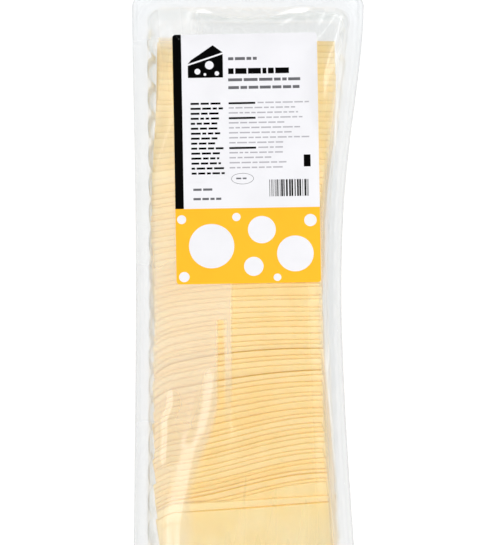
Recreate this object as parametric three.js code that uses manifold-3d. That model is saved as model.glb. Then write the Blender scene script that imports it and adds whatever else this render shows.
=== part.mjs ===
// A long clear tray of thin-sliced cheese, closed by a clear lidding film with a paper label on it.
// The pack lies flat. Sizes are in millimetres. +Z is up, +Y points to the end where the first
// slice lies, and the origin is on the floor under the middle of the pack.
import * as THREE from "three";
import { mergeVertices } from "three/addons/utils/BufferGeometryUtils.js";
import Module from "manifold-3d";

// The pack
const PACK_LENGTH = 386;
const PACK_WIDTH = 133;
const PACK_DEPTH = 42;
const FLANGE_WIDTH = 8.6;
const FLANGE_CORNER = 9;
const TRAY_WALL = 0.8;
// The wall corners of the tray all turn about centres this far in from the flange's outer edges.
const WALL_CORNER_INSET = 19;
const LONG_SIDE_FLUTES = 21;
const SHORT_SIDE_FLUTES = 6;
const STEPS_PER_FLUTE = 3;
// Between the flutes the wall stands in as ribs, which the slices press flat at the waist.
const RIB_HEIGHT = 1.3;
const CORNER_STEPS = 4;

// The long sides are drawn in by the packing vacuum, the right one far more than the left one.
const WAIST_Y = 16.4;
const WAIST_LEFT = 2.3;
const WAIST_RIGHT = 13;
const WAIST_AT_FLOOR = 0.35;

// The slices
const SLICE_COUNT = 83;
const SLICE_WIDTH = 100;
const SLICE_LENGTH = 75;
const SLICE_THICKNESS = 1.42;
const FIRST_SLICE_REAR = 168.5;
const FIRST_PITCH = 3.27;
const PITCH_LOSS = 0.59;
const LOOSE_SLICES = 2;
const LOOSE_PITCHES = [7.5, 4];
const LOOSE_RISE = 0.7;
const STACK_CENTRE = -1.5;
const SIDE_JITTER = 0.9;
// The later slices lie turned, so that their front edges stand this much further to the right.
const LATE_TURN = 3;
// Each slice sinks this far into the one under it, so that all of them fuse into one solid.
const FUSE_DEPTH = 0.25;
const CLEARANCE = 0.3;

// The film and the label
const FILM_THICKNESS = 0.5;
const FILM_EDGE_INSET = 0.4;
const FILM_SAG_FRONT = 3.5;
const FILM_SAG_MIDDLE = 7;
const FILM_SAG_REAR = 12;
const FILM_SAG_REACH = 28;
// The film leaves the ridge of the stack this far in front of it.
const FILM_LEAD = 4;
const LABEL_WIDTH = 83;
const LABEL_LENGTH = 145;
const LABEL_CENTRE = [-0.75, 98.4];
const LABEL_TURN = THREE.MathUtils.degToRad(1);
const LABEL_CORNER = 2;
const LABEL_THICKNESS = 0.25;

const CLEAR_PLASTIC = { color: 0xe6ebec, roughness: 0.12, transparent: true, opacity: 0.3 };

const HALF_LENGTH = PACK_LENGTH / 2;
const HALF_WIDTH = PACK_WIDTH / 2;
const STACK_FLOOR = TRAY_WALL + CLEARANCE;
const LAST_REGULAR = SLICE_COUNT - LOOSE_SLICES - 1;

const { lerp, clamp, smoothstep } = THREE.MathUtils;

// How far the waist is drawn in at y, as a share: 1 at its narrowest, 0 at both ends.
function waistShare(y) {
  const offset = y - WAIST_Y;
  if (offset > 0) {
    const share = clamp(offset / (HALF_LENGTH - WAIST_Y), 0, 1);
    return (1 - share ** 2.6) ** 2.4;
  }
  const share = clamp(-offset / (HALF_LENGTH + WAIST_Y), 0, 1);
  return 1 - share ** 1.45;
}

// The sideways shift of a point of the straight pack, linear from the left flange to the right one.
function drawIn(x, y, z) {
  const atHeight = lerp(WAIST_AT_FLOOR, 1, clamp(z / PACK_DEPTH, 0, 1));
  const across = (x / HALF_WIDTH + 1) / 2;
  return x + waistShare(y) * atHeight * lerp(WAIST_LEFT, -WAIST_RIGHT, across);
}

// The straight pack's x for a point x of the drawn-in pack at flange height.
function undraw(x, y) {
  const share = waistShare(y);
  const middle = share * (WAIST_LEFT - WAIST_RIGHT) / 2;
  const slope = share * (WAIST_LEFT + WAIST_RIGHT) / 2 / HALF_WIDTH;
  return (x - middle) / (1 - slope);
}

// One turn round a rounded rectangle as rows of { x, y, nx, ny, flute }, where the corner arcs have
// their centres at cornerInset and radius cornerInset less inset, and flute is 0 to 1 round a flute.
function outline(inset, cornerInset) {
  const stations = [];
  const radius = cornerInset - inset;
  const centreX = HALF_WIDTH - cornerInset;
  const centreY = HALF_LENGTH - cornerInset;
  const sides = [
    { nx: 1, ny: 0, from: [centreX, -centreY], to: [centreX, centreY], flutes: LONG_SIDE_FLUTES },
    { nx: 0, ny: 1, from: [centreX, centreY], to: [-centreX, centreY], flutes: SHORT_SIDE_FLUTES },
    { nx: -1, ny: 0, from: [-centreX, centreY], to: [-centreX, -centreY], flutes: LONG_SIDE_FLUTES },
    { nx: 0, ny: -1, from: [-centreX, -centreY], to: [centreX, -centreY], flutes: SHORT_SIDE_FLUTES },
  ];
  sides.forEach(({ nx, ny, from, to, flutes }, side) => {
    const steps = flutes * STEPS_PER_FLUTE;
    for (let i = 0; i < steps; i++) {
      const share = i / steps;
      stations.push({
        x: lerp(from[0], to[0], share) + nx * radius,
        y: lerp(from[1], to[1], share) + ny * radius,
        nx,
        ny,
        flute: i % STEPS_PER_FLUTE === 0 ? 0 : 1,
      });
    }
    for (let i = 0; i < CORNER_STEPS; i++) {
      const angle = ((side + i / CORNER_STEPS) * Math.PI) / 2;
      const [cx, cy] = [Math.cos(angle), Math.sin(angle)];
      stations.push({ x: to[0] + cx * radius, y: to[1] + cy * radius, nx: cx, ny: cy, flute: 1 });
    }
  });
  return stations;
}

// The tray starts as a revolved blank. Each ring of the blank is then pressed to its own rounded
// rectangle, with the flutes standing outwards, and the waist is drawn in.
function trayGeometry() {
  const inner = [
    { inset: FLANGE_WIDTH, z: PACK_DEPTH, flute: 0 },
    { inset: 9.9, z: PACK_DEPTH - 5, flute: 0.9 },
    { inset: 11.3, z: 8, flute: 1.8 },
    { inset: 11.9, z: 2.6, flute: 0 },
    { inset: 12.9, z: TRAY_WALL, flute: 0 },
  ];
  const outer = inner.map((ring, i) => ({
    ...ring,
    inset: ring.inset - (i === inner.length - 1 ? 0 : TRAY_WALL),
    z: i === 0 || i === inner.length - 1 ? ring.z - TRAY_WALL : ring.z,
  }));
  const rim = [
    { inset: 0, z: PACK_DEPTH - TRAY_WALL, flute: 0, corner: FLANGE_CORNER },
    { inset: 0, z: PACK_DEPTH, flute: 0, corner: FLANGE_CORNER },
  ];
  const rings = [...outer.reverse(), ...rim, ...inner];
  const blank = [new THREE.Vector2(0, 0)];
  rings.forEach(({ inset, z }) => blank.push(new THREE.Vector2(HALF_WIDTH - inset, z)));
  blank.push(new THREE.Vector2(0, TRAY_WALL));

  const outlines = rings.map(({ inset, corner }) => outline(inset, corner ?? WALL_CORNER_INSET));
  const turns = outlines[0].length;
  const geometry = new THREE.LatheGeometry(blank, turns);
  const position = geometry.getAttribute("position");
  for (let turn = 0; turn <= turns; turn++) {
    blank.forEach(({ y: height }, level) => {
      const at = turn * blank.length + level;
      const ring = rings[level - 1];
      if (!ring) {
        position.setXYZ(at, 0, 0, height);
        return;
      }
      const { x, y, nx, ny, flute } = outlines[level - 1][turn % turns];
      const rib = ring.flute > 0 ? RIB_HEIGHT * (1 - waistShare(y)) : 0;
      const out = ring.flute * flute - rib * (1 - flute);
      position.setXYZ(at, drawIn(x + nx * out, y + ny * out, ring.z), y + ny * out, ring.z);
    });
  }
  return geometry;
}

// Slice k's distance to the next one along the floor: the slices stand closer to the front.
function pitch(k) {
  return FIRST_PITCH - PITCH_LOSS * (k / LAST_REGULAR) ** 2;
}

// The slope that slices of this thickness take when they lie on each other at that pitch.
function lean(k) {
  return Math.asin(SLICE_THICKNESS / pitch(k));
}

// The front edge of slice k on the floor, at its right side.
function frontEdge(k) {
  let y = FIRST_SLICE_REAR - SLICE_LENGTH;
  for (let i = 0; i < k; i++) {
    const loose = i - LAST_REGULAR;
    y -= loose < 0 ? pitch(i) : LOOSE_PITCHES[loose];
  }
  return y;
}

// The height of slice k's level rear part, for the slices that lie on the floor behind the slope.
function levelHeight(k) {
  return k * SLICE_THICKNESS;
}

// How far the slices trail towards the front at their left side, where share runs from 0 at the
// right side to 1 at the left: more so for the later slices, with a sharp last turn at the edge.
function trail(k, share) {
  const later = smoothstep(k, 45, 72);
  const most = 2 + 4 * smoothstep(k, 5, 25) + 11 * smoothstep(k, 38, 70);
  const bend = lerp(share ** 3.2, smoothstep(share, 0, 1), later);
  return most * bend + edgeTurn(k, share);
}

function edgeTurn(k, share) {
  return 4 * smoothstep(k, 30, 60) * clamp((share - 0.9) / 0.1, 0, 1) ** 1.5;
}

// The last slices were laid straighter, across the trailing ones.
function looseTrail(k, share) {
  return 5.5 * share + edgeTurn(k, share);
}

// How far to the right slice k stands at an arc up its length: more towards its front edge.
function turned(k, arc) {
  const most = k > LAST_REGULAR ? LATE_TURN / 3 : LATE_TURN * smoothstep(k, 38, 70);
  return most * (1 - clamp(arc / SLICE_LENGTH, 0, 1));
}

// A repeatable scatter from -1 to 1 for slice k.
function scatter(k, salt) {
  const wave = Math.sin(k * 127.1 + salt * 311.7) * 43758.5453;
  return 2 * (wave - Math.floor(wave)) - 1;
}

// The stack drawn in with the tray's walls: it leans left, narrows and rolls off at its right edge.
function settle(x, y, z) {
  const height = clamp(z / PACK_DEPTH, 0, 1);
  const waist = waistShare(y);
  const narrowed = x * (1 - 0.034 * waist * height);
  const shift = STACK_CENTRE - waist * (1.2 + 3.5 * height);
  const toRight = clamp((x - 36) / 14, 0, 1);
  const toLeft = clamp((-x - 40) / 10, 0, 1);
  const drop = height * (4.5 * waist * toRight ** 2 + 1.5 * toLeft ** 2);
  return [narrowed + shift, y, STACK_FLOOR + z - drop];
}

// The place of a point of slice k: share across it, arc up its length from the front edge, and
// rise off its underside.
function slicePoint(k, share, arc, rise) {
  const x = SLICE_WIDTH * (0.5 - share) + SIDE_JITTER * scatter(k, 1) + turned(k, arc);
  const bed = Math.min(k, LAST_REGULAR);
  const slope = lean(bed);
  const bend = levelHeight(bed) / Math.sin(slope);
  const onSlope = Math.min(arc, bend);
  const level = Math.max(arc - bend, 0);
  // Either side of the bend the slice's own normal holds, and at the bend itself the mean of both.
  const normal = Math.abs(arc - bend) < 1e-6 ? slope / 2 : arc > bend ? 0 : slope;
  const spread = Math.abs(arc - bend) < 1e-6 ? 1 / Math.cos(slope / 2) : 1;
  const run = onSlope * Math.cos(slope) + level - rise * spread * Math.sin(normal);
  const height = onSlope * Math.sin(slope) + rise * spread * Math.cos(normal);
  if (k <= LAST_REGULAR) return settle(x, frontEdge(k) + run - trail(k, share), height);

  // A loose slice lies on the last regular one, and on the ridge of the stack behind that.
  const y = frontEdge(k) + run - looseTrail(k, share);
  const bedFront = frontEdge(bed) - trail(bed, share);
  const over = ((k - bed) * SLICE_THICKNESS) / Math.cos(slope);
  const onBed = (y - bedFront) * Math.tan(slope) + over + rise / Math.cos(slope);
  const onRidge = SLICE_LENGTH * Math.sin(slope) + (k - bed) * LOOSE_RISE + rise;
  return settle(x, y, Math.min(onBed, onRidge));
}

// A closed slab whose upper and lower faces are grids with the same diagonals, so that a thin one
// keeps its thickness where it twists. Place gives the point for across and along, each from -0.5
// to 0.5, on the upper face or the lower one.
function shaped(acrossSteps, alongSteps, place) {
  const places = [];
  const columns = acrossSteps + 1;
  const rows = alongSteps + 1;
  for (const upper of [true, false]) {
    for (let j = 0; j < rows; j++) {
      for (let i = 0; i < columns; i++) {
        places.push(...place(i / acrossSteps - 0.5, j / alongSteps - 0.5, upper));
      }
    }
  }
  const index = [];
  const below = rows * columns;
  for (let j = 0; j < alongSteps; j++) {
    for (let i = 0; i < acrossSteps; i++) {
      const a = j * columns + i;
      const [b, c, d] = [a + 1, a + 1 + columns, a + columns];
      index.push(a, b, c, a, c, d);
      index.push(below + a, below + c, below + b, below + a, below + d, below + c);
    }
  }
  const rim = [];
  for (let i = 0; i < acrossSteps; i++) rim.push(i);
  for (let j = 0; j < alongSteps; j++) rim.push(j * columns + acrossSteps);
  for (let i = acrossSteps; i > 0; i--) rim.push(alongSteps * columns + i);
  for (let j = alongSteps; j > 0; j--) rim.push(j * columns);
  rim.forEach((from, n) => {
    const to = rim[(n + 1) % rim.length];
    index.push(below + from, below + to, to, below + from, to, from);
  });
  const geometry = new THREE.BufferGeometry();
  geometry.setAttribute("position", new THREE.Float32BufferAttribute(places, 3));
  geometry.setIndex(index);
  return geometry;
}

// The value of a list at a share from 0 to 1 that falls on one of its entries.
function entry(list, share) {
  return list[Math.round(share * (list.length - 1))];
}

// Slice k as a closed block. Its lower end runs on under the floor, to be cut off level there.
function sliceGeometry(k) {
  const across = [0, 0.09, 0.45, 0.9, 1];
  const bed = Math.min(k, LAST_REGULAR);
  const bend = levelHeight(bed) / Math.sin(lean(bed));
  const lastOne = k === SLICE_COUNT - 1;
  const start = k > LAST_REGULAR ? 0 : -2 * FUSE_DEPTH - 2;
  let along = [start, SLICE_LENGTH];
  if (k === 0) along = [0, SLICE_LENGTH];
  else if (bend < SLICE_LENGTH) along = [start, bend, SLICE_LENGTH];
  else if (k > LAST_REGULAR) along = [0, 40, 50, 60, SLICE_LENGTH];
  const under = lastOne || k > LAST_REGULAR ? 2 * FUSE_DEPTH : FUSE_DEPTH;
  return shaped(across.length - 1, along.length - 1, (x, y, upper) =>
    slicePoint(k, entry(across, 0.5 - x), entry(along, y + 0.5), upper ? SLICE_THICKNESS : -under),
  );
}

// The film's height over the drawn-in pack: on the flange, sagging inside it, and lifted by the cheese.
function stackTop(x, y) {
  const behind = clamp((FIRST_SLICE_REAR - y) * 0.394, 0, 200);
  const k = clamp((FIRST_SLICE_REAR - y) / 3.15, 0, LAST_REGULAR);
  const ridge = SLICE_LENGTH * Math.sin(lean(k)) + SLICE_THICKNESS;
  const lastRear = frontEdge(LAST_REGULAR) + SLICE_LENGTH * Math.cos(lean(LAST_REGULAR));
  const share = clamp((x + 54) / 100, 0, 1);
  const inFront = lastRear - trail(LAST_REGULAR, 1 - share) - y;
  const lastSlope = lean(LAST_REGULAR);
  const frontFace = SLICE_LENGTH * Math.sin(lastSlope) + (3 * SLICE_THICKNESS) / Math.cos(lastSlope);
  const falling = frontFace - (inFront - FILM_LEAD) * Math.tan(lastSlope);
  const loose = LOOSE_SLICES * LOOSE_RISE * smoothstep(-y, 70, 100);
  return STACK_FLOOR + Math.min(behind + SLICE_THICKNESS, ridge + loose, falling);
}

// The distance inside the tray's mouth, negative on the flange, for a point of the straight pack.
function insideMouth(x, y) {
  const centreX = HALF_WIDTH - WALL_CORNER_INSET;
  const centreY = HALF_LENGTH - WALL_CORNER_INSET;
  const outX = Math.abs(x) - centreX;
  const outY = Math.abs(y) - centreY;
  const radius = WALL_CORNER_INSET - FLANGE_WIDTH;
  if (outX > 0 && outY > 0) return radius - Math.hypot(outX, outY);
  return radius - Math.max(outX, outY);
}

function filmHeight(x, y) {
  const inside = Math.max(insideMouth(undraw(x, y), y), 0);
  const towardsRear = lerp(FILM_SAG_FRONT, FILM_SAG_MIDDLE, smoothstep(y, -60, 40));
  const sag = lerp(towardsRear, FILM_SAG_REAR, smoothstep(y, 100, 165));
  const hanging = PACK_DEPTH + CLEARANCE - sag * smoothstep(inside, 0, FILM_SAG_REACH);
  const carried = inside > 0 ? stackTop(x, y) + CLEARANCE + 0.6 : 0;
  // A soft maximum, so that the film leaves the cheese without a crease.
  const softness = 2.5;
  const gap = Math.max(softness - Math.abs(hanging - carried), 0) / softness;
  return Math.max(hanging, carried) + (gap * gap * softness) / 4;
}

// A thin sheet over the whole tray, from lower to upper above the film's underside.
function sheetGeometry(lower, upper) {
  const across = [-1, -0.87, -0.78, -0.65, -0.42, -0.14, 0.14, 0.42, 0.65, 0.78, 0.87, 1];
  const fromEnd = [0, 1.2, 4, 8.6, 14, 22, 33, 50, 70, 82, 94, 110, 135, 165];
  const rearHalf = fromEnd.map((distance) => HALF_LENGTH - distance);
  const along = [...rearHalf.map((y) => -y), 0, ...rearHalf.reverse()];
  return shaped(across.length - 1, along.length - 1, (u, v, isUpper) => {
    const y = entry(along, v + 0.5) * (1 - FILM_EDGE_INSET / HALF_LENGTH);
    const intoCorner = Math.max(Math.abs(y) - (HALF_LENGTH - FLANGE_CORNER), 0);
    const radius = FLANGE_CORNER - FILM_EDGE_INSET;
    const cut = radius - Math.sqrt(Math.max(radius ** 2 - intoCorner ** 2, 0));
    const straightX = entry(across, u + 0.5) * (HALF_WIDTH - FILM_EDGE_INSET - cut);
    const x = drawIn(straightX, y, PACK_DEPTH);
    return [x, y, filmHeight(x, y) + (isUpper ? upper : lower)];
  });
}

const wasm = await Module();
wasm.setup();

// A closed geometry as a solid that can be joined and cut.
function solid(geometry) {
  const bare = new THREE.BufferGeometry();
  bare.setAttribute("position", geometry.getAttribute("position"));
  bare.setIndex(geometry.index);
  const merged = mergeVertices(bare, 1e-3);
  return new wasm.Manifold(
    new wasm.Mesh({
      numProp: 3,
      vertProperties: merged.attributes.position.array,
      triVerts: new Uint32Array(merged.index.array),
    }),
  );
}

function geometryOf(made) {
  const { numProp, numVert, vertProperties, triVerts } = made.getMesh();
  const places = new Float32Array(numVert * 3);
  for (let i = 0; i < numVert; i++) {
    places.set(vertProperties.subarray(i * numProp, i * numProp + 3), i * 3);
  }
  const geometry = new THREE.BufferGeometry();
  geometry.setAttribute("position", new THREE.BufferAttribute(places, 3));
  geometry.setIndex(new THREE.BufferAttribute(new Uint32Array(triVerts), 1));
  return geometry;
}

// All the slices fused, and cut level where they stand on the tray's floor.
function stackGeometry() {
  let stack = solid(sliceGeometry(0));
  for (let k = 1; k < SLICE_COUNT; k++) stack = stack.add(solid(sliceGeometry(k)));
  const below = new THREE.BoxGeometry(2 * PACK_WIDTH, 2 * PACK_LENGTH, 20);
  below.translate(0, 0, STACK_FLOOR - 10);
  return geometryOf(outerShell(stack.subtract(solid(below))));
}

// The outer skin of a solid alone, so that the small hollows between the slices are filled.
function outerShell(made) {
  const shells = made.decompose();
  return shells.reduce((most, shell) => (shell.volume() > most.volume() ? shell : most));
}

// The label's outline, drawn round its own middle.
function labelOutline() {
  const [x, y, r] = [LABEL_WIDTH / 2, LABEL_LENGTH / 2, LABEL_CORNER];
  const drawn = new THREE.Shape();
  drawn.moveTo(-x + r, -y);
  drawn.lineTo(x - r, -y);
  drawn.absarc(x - r, -y + r, r, -Math.PI / 2, 0);
  drawn.absarc(x - r, y - r, r, 0, Math.PI / 2);
  drawn.absarc(-x + r, y - r, r, Math.PI / 2, Math.PI);
  drawn.absarc(-x + r, -y + r, r, Math.PI, (3 * Math.PI) / 2);
  return drawn;
}

// The label follows the film: it is cut to its outline from a sheet just above the film.
function labelGeometry() {
  const cutter = new THREE.ExtrudeGeometry(labelOutline(), {
    depth: 2 * PACK_DEPTH,
    bevelEnabled: false,
    curveSegments: 4,
  });
  cutter.rotateZ(LABEL_TURN);
  cutter.translate(...LABEL_CENTRE, 0);
  const under = FILM_THICKNESS + CLEARANCE;
  const sheet = solid(sheetGeometry(under, under + LABEL_THICKNESS));
  return geometryOf(sheet.intersect(solid(cutter)));
}

function piece(name, geometry, look) {
  const mesh = new THREE.Mesh(geometry, new THREE.MeshStandardMaterial(look));
  mesh.name = name;
  return mesh;
}

const pack = new THREE.Group();
pack.add(
  piece("tray", trayGeometry(), CLEAR_PLASTIC),
  piece("cheese_slices", stackGeometry(), { color: 0xf7d88c, roughness: 0.55 }),
  piece("top_film", sheetGeometry(0, FILM_THICKNESS), CLEAR_PLASTIC),
  piece("label", labelGeometry(), { color: 0xf5f3f8, roughness: 0.5 }),
);

export default pack;
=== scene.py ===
# %% [markdown]
# # A pack of thin-sliced cheese
# The pack is a long clear tray with fluted walls. Thin slices lie in it like roof tiles, each a
# little in front of the one before. A clear film is sealed on the tray's flange, and a paper label
# is stuck on the film. This lesson builds those four things over the frame that the CAD model gives,
# then lights them with soft boxes, so that the film's wrinkles catch the light.
#
# Sizes are in millimetres until a mesh is made. +Y points to the end with the label and the first
# slice, +X to the label's right, and +Z is up.

import math

import bmesh
import bpy
import numpy as np
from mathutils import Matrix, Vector


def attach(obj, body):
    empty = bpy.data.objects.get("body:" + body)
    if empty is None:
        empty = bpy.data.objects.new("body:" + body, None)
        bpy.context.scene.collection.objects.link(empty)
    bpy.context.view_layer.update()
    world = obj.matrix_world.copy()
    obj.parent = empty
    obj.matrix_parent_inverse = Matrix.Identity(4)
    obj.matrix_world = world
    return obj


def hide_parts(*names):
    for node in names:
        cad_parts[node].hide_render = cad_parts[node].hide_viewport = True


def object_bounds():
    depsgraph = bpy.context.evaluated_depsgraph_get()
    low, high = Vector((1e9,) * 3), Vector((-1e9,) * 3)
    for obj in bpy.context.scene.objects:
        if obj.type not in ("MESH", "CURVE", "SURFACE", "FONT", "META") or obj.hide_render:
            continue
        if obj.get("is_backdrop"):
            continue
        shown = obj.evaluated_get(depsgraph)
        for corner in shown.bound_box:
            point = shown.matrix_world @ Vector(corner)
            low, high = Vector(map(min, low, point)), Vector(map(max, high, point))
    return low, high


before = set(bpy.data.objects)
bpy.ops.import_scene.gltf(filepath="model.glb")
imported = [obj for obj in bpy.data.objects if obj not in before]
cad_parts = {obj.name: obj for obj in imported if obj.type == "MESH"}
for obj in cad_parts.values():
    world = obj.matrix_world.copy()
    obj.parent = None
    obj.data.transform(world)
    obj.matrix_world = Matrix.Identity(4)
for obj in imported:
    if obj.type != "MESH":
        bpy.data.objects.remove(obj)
cad_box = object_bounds()
print("CAD box in metres:", [[round(value, 4) for value in corner] for corner in cad_box])

MM = 0.001

# %% [markdown]
# ## Surfaces as grids
# Every piece here is a sheet or a slab that bends, so one way of making meshes serves them all: a
# function of two parameters is worked out on a grid with numpy, and neighbouring points are joined
# by quads. Sculpting or box modelling would also do, but a grid keeps each fold tied to a measured
# size, and a closed grid needs no repair.


# %% Grid helpers
def grid_faces(rows, columns, closed_rows=False, closed_columns=False):
    """Quads of a grid stored row by row: each point, its right neighbour, and the two above them."""
    row = np.arange(rows if closed_rows else rows - 1)[:, None]
    column = np.arange(columns if closed_columns else columns - 1)[None, :]
    right, above = (column + 1) % columns, (row + 1) % rows
    corners = (
        row * columns + column,
        row * columns + right,
        above * columns + right,
        above * columns + column,
    )
    return np.stack([corner.ravel() for corner in corners], axis=1)


def signed_volume(points, faces):
    """Sum over the triangles of the tetrahedra that they make with the origin: negative if inside out."""
    a, b, c, d = (points[faces[:, i]] for i in range(4))
    first = np.einsum("ij,ij->i", a, np.cross(b, c))
    second = np.einsum("ij,ij->i", a, np.cross(c, d))
    return (first.sum() + second.sum()) / 6


def smoothstep(value, low, high):
    """3t^2 - 2t^3 of the share t that value has come from low to high, held to 0 and 1 outside them."""
    share = np.clip((value - low) / (high - low), 0, 1)
    return share * share * (3 - 2 * share)


def scatter(number, salt):
    """A repeatable spread from -1 to 1: twice the fraction of a large multiple of a sine, less 1."""
    wave = np.sin(number * 127.1 + salt * 311.7) * 43758.5453
    return 2 * (wave - np.floor(wave)) - 1


def new_object(name, data):
    """An object in the scene that shows the data."""
    made = bpy.data.objects.new(name, data)
    bpy.context.scene.collection.objects.link(made)
    return made


def add_piece(name, points, faces, finish, slot, attributes=None, crease=None, merge=False):
    """Makes a mesh piece from points in mm and quads, facing out, which rides on the pack."""
    if signed_volume(points, faces) < 0:
        faces = faces[:, ::-1]
    mesh = bpy.data.meshes.new(name)
    mesh.from_pydata((points * MM).tolist(), [], faces.tolist())
    for key, values in (attributes or {}).items():
        mesh.attributes.new(key, "FLOAT", "POINT").data.foreach_set("value", values.astype(np.float32))
    if merge:
        work = bmesh.new()
        work.from_mesh(mesh)
        bmesh.ops.remove_doubles(work, verts=work.verts, dist=1e-6)
        work.to_mesh(mesh)
        work.free()
    mesh.polygons.foreach_set("use_smooth", np.ones(len(mesh.polygons), bool))
    if crease is not None:
        mesh.set_sharp_from_angle(angle=math.radians(crease))
    mesh.update()
    mesh.materials.append(finish)
    piece = new_object(name, mesh)
    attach(piece, "root")
    print(f"{name}: {len(points)} points, {len(faces)} faces")
    return piece


# %% [markdown]
# ## The pack's plan
# The tray is formed with straight sides, but the vacuum that the pack is sealed under has drawn its
# waist in, the right side far more than the left. Every other shape follows that, so the draw-in is
# one function: a sideways shift that grows from the left flange to the right one, is full at the
# flange and is small at the floor.

# %% The tray's sizes and its waist
PACK_LENGTH, PACK_WIDTH, PACK_DEPTH = 386.0, 133.0, 42.0
HALF_LENGTH, HALF_WIDTH = PACK_LENGTH / 2, PACK_WIDTH / 2
FLANGE_WIDTH = 8.6
WAIST_Y = 16.4
WAIST_LEFT, WAIST_RIGHT = 2.3, 13.0
WAIST_AT_FLOOR = 0.35


def waist_share(y):
    """1 at the waist and 0 at both ends: (1 - s^2.6)^2.4 behind the waist, 1 - s^1.45 in front."""
    behind = np.clip((y - WAIST_Y) / (HALF_LENGTH - WAIST_Y), 0, 1)
    before = np.clip((WAIST_Y - y) / (HALF_LENGTH + WAIST_Y), 0, 1)
    return np.where(y > WAIST_Y, (1 - behind**2.6) ** 2.4, 1 - before**1.45)


def draw_in(x, y, z):
    """x plus the waist's share times a shift that runs in a line from the left flange to the right."""
    at_height = WAIST_AT_FLOOR + (1 - WAIST_AT_FLOOR) * np.clip(z / PACK_DEPTH, 0, 1)
    across = (x / HALF_WIDTH + 1) / 2
    shift = WAIST_LEFT + (-WAIST_RIGHT - WAIST_LEFT) * across
    return x + waist_share(y) * at_height * shift


def undraw(x, y):
    """The straight pack's x for a point of the drawn-in pack at flange height."""
    share = waist_share(y)
    middle = share * (WAIST_LEFT - WAIST_RIGHT) / 2
    slope = share * (WAIST_LEFT + WAIST_RIGHT) / 2 / HALF_WIDTH
    return (x - middle) / (1 - slope)


# %% [markdown]
# ## The slices' places
# Each slice is 100 by 75 mm and takes up 1.42 mm of the stack. It leans on the one behind it, so its
# rear edge is high and its front edge is on the tray's floor. The first slices lie flat on each other
# until the row reaches its height. A physics simulation of the falling slices would be slow and hard
# to match, so the places come from the pitch between slices: thickness over pitch is the sine of the
# lean. The slices trail towards the front at their left side, more so the later they were laid, and
# the last two were laid straighter over the rest.

# %% Pitch, lean and trail
SLICE_COUNT = 83
SLICE_WIDTH, SLICE_LENGTH, SLICE_SPACING = 100.0, 75.0, 1.42
SLICE_THICKNESS = 1.36
FIRST_SLICE_REAR = 169.8
FIRST_PITCH, PITCH_LOSS = 3.27, 0.59
LOOSE_PITCHES = np.array([7.5, 4.0])
LOOSE_RISE = 0.7
LAST_REGULAR = SLICE_COUNT - len(LOOSE_PITCHES) - 1
STACK_CENTRE = -1.5
STACK_FLOOR = 0.75
LATE_TURN = 6.5
# Some slices stand a little apart, so their cut edges get deeper painted shadow: where, and how dark from 1
# to 2.
GAPS_AT = (-13.0, -23.5, 88.0, 112.0, -84.0, -99.0)
GAP_SHADOW_DEPTHS = (2.0, 1.9, 1.3, 1.3, 1.25, 1.3)
# The vacuum pressed the row's right edge in at the waist and left it wide near the label's top: the
# shift to the right at places along the pack.
RIGHT_EDGE_AT = (0.0, 17.0, 40.0, 62.0, 85.0, 108.0, 131.0, 160.0)
RIGHT_EDGE_SHIFT = (0.0, -0.6, -0.9, -2.0, -0.6, 1.7, 1.8, 1.0)
# At the waist the row also narrows by a share and shifts left: at the floor, and how much more at
# the top. Its long edges roll off by the drop.
NARROWING = (0.02, 0.014)
LEFT_SHIFT = (3.0, 1.9)
EDGE_DROP = 1.2
# The left side's trail: the first slice's, what the early and the late ones add, the last two's, and
# the late ones' sharp turn at the left edge.
TRAIL_FIRST, TRAIL_EARLY, TRAIL_LATE = -2.0, 8.0, 11.0
TRAIL_LAST_TWO = 5.5
EDGE_TURN = 4.0

number = np.arange(SLICE_COUNT)
bed = np.minimum(number, LAST_REGULAR)
pitch = FIRST_PITCH - PITCH_LOSS * (bed / LAST_REGULAR) ** 2
lean = np.arcsin(SLICE_SPACING / pitch)
steps = np.concatenate([pitch[:LAST_REGULAR], LOOSE_PITCHES])
front_edge = FIRST_SLICE_REAR - SLICE_LENGTH - np.concatenate([[0], np.cumsum(steps)])
print("leans from", round(math.degrees(lean[0]), 1), "to", round(math.degrees(lean[-1]), 1), "degrees")


def edge_turn(k, share):
    """The sharp turn at the left edge: a power of the last tenth of the width."""
    return EDGE_TURN * smoothstep(k, 30, 60) * np.clip((share - 0.9) / 0.1, 0, 1) ** 1.5


def trail(k, share):
    """How far slice k trails to the front at a share of the way to its left edge: a late bend for the
    early slices and an S shape for the later ones, times the most that it trails."""
    later = smoothstep(k, 45, 72)
    most = TRAIL_FIRST + TRAIL_EARLY * smoothstep(k, 3, 25) + TRAIL_LATE * smoothstep(k, 38, 70)
    bend = (1 - later) * share**3.2 + later * smoothstep(share, 0, 1)
    return most * bend + edge_turn(k, share)


def settle(x, y, z):
    """The stack after the vacuum: leaning left, narrowed, and rolled off at its edges."""
    height = np.clip(z / PACK_DEPTH, 0, 1)
    waist = waist_share(y)
    narrowed = x * (1 - waist * (NARROWING[0] + NARROWING[1] * height))
    shift = STACK_CENTRE - waist * (LEFT_SHIFT[0] + LEFT_SHIFT[1] * height)
    to_right = np.clip((x - 38) / 12, 0, 1)
    to_left = np.clip((-x - 40) / 10, 0, 1)
    drop = height * (EDGE_DROP * waist * to_right**2 + EDGE_DROP * to_left**2)
    edge = to_right * np.interp(y, RIGHT_EDGE_AT, RIGHT_EDGE_SHIFT)
    return narrowed + shift + edge, STACK_FLOOR + z - drop


# %% [markdown]
# ## The slices' shapes
# A slice is a long closed loop, its side view, carried across its width. The loop runs up the top
# face and back down the underside, with a small bevel at the rear edge. All 83 are one array with
# four axes: slice, share across, point of the loop, and x, y, z. Slices cut and laid by machine are
# nearly alike, so each gets only a small slide, turn and wave of its own.

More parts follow.
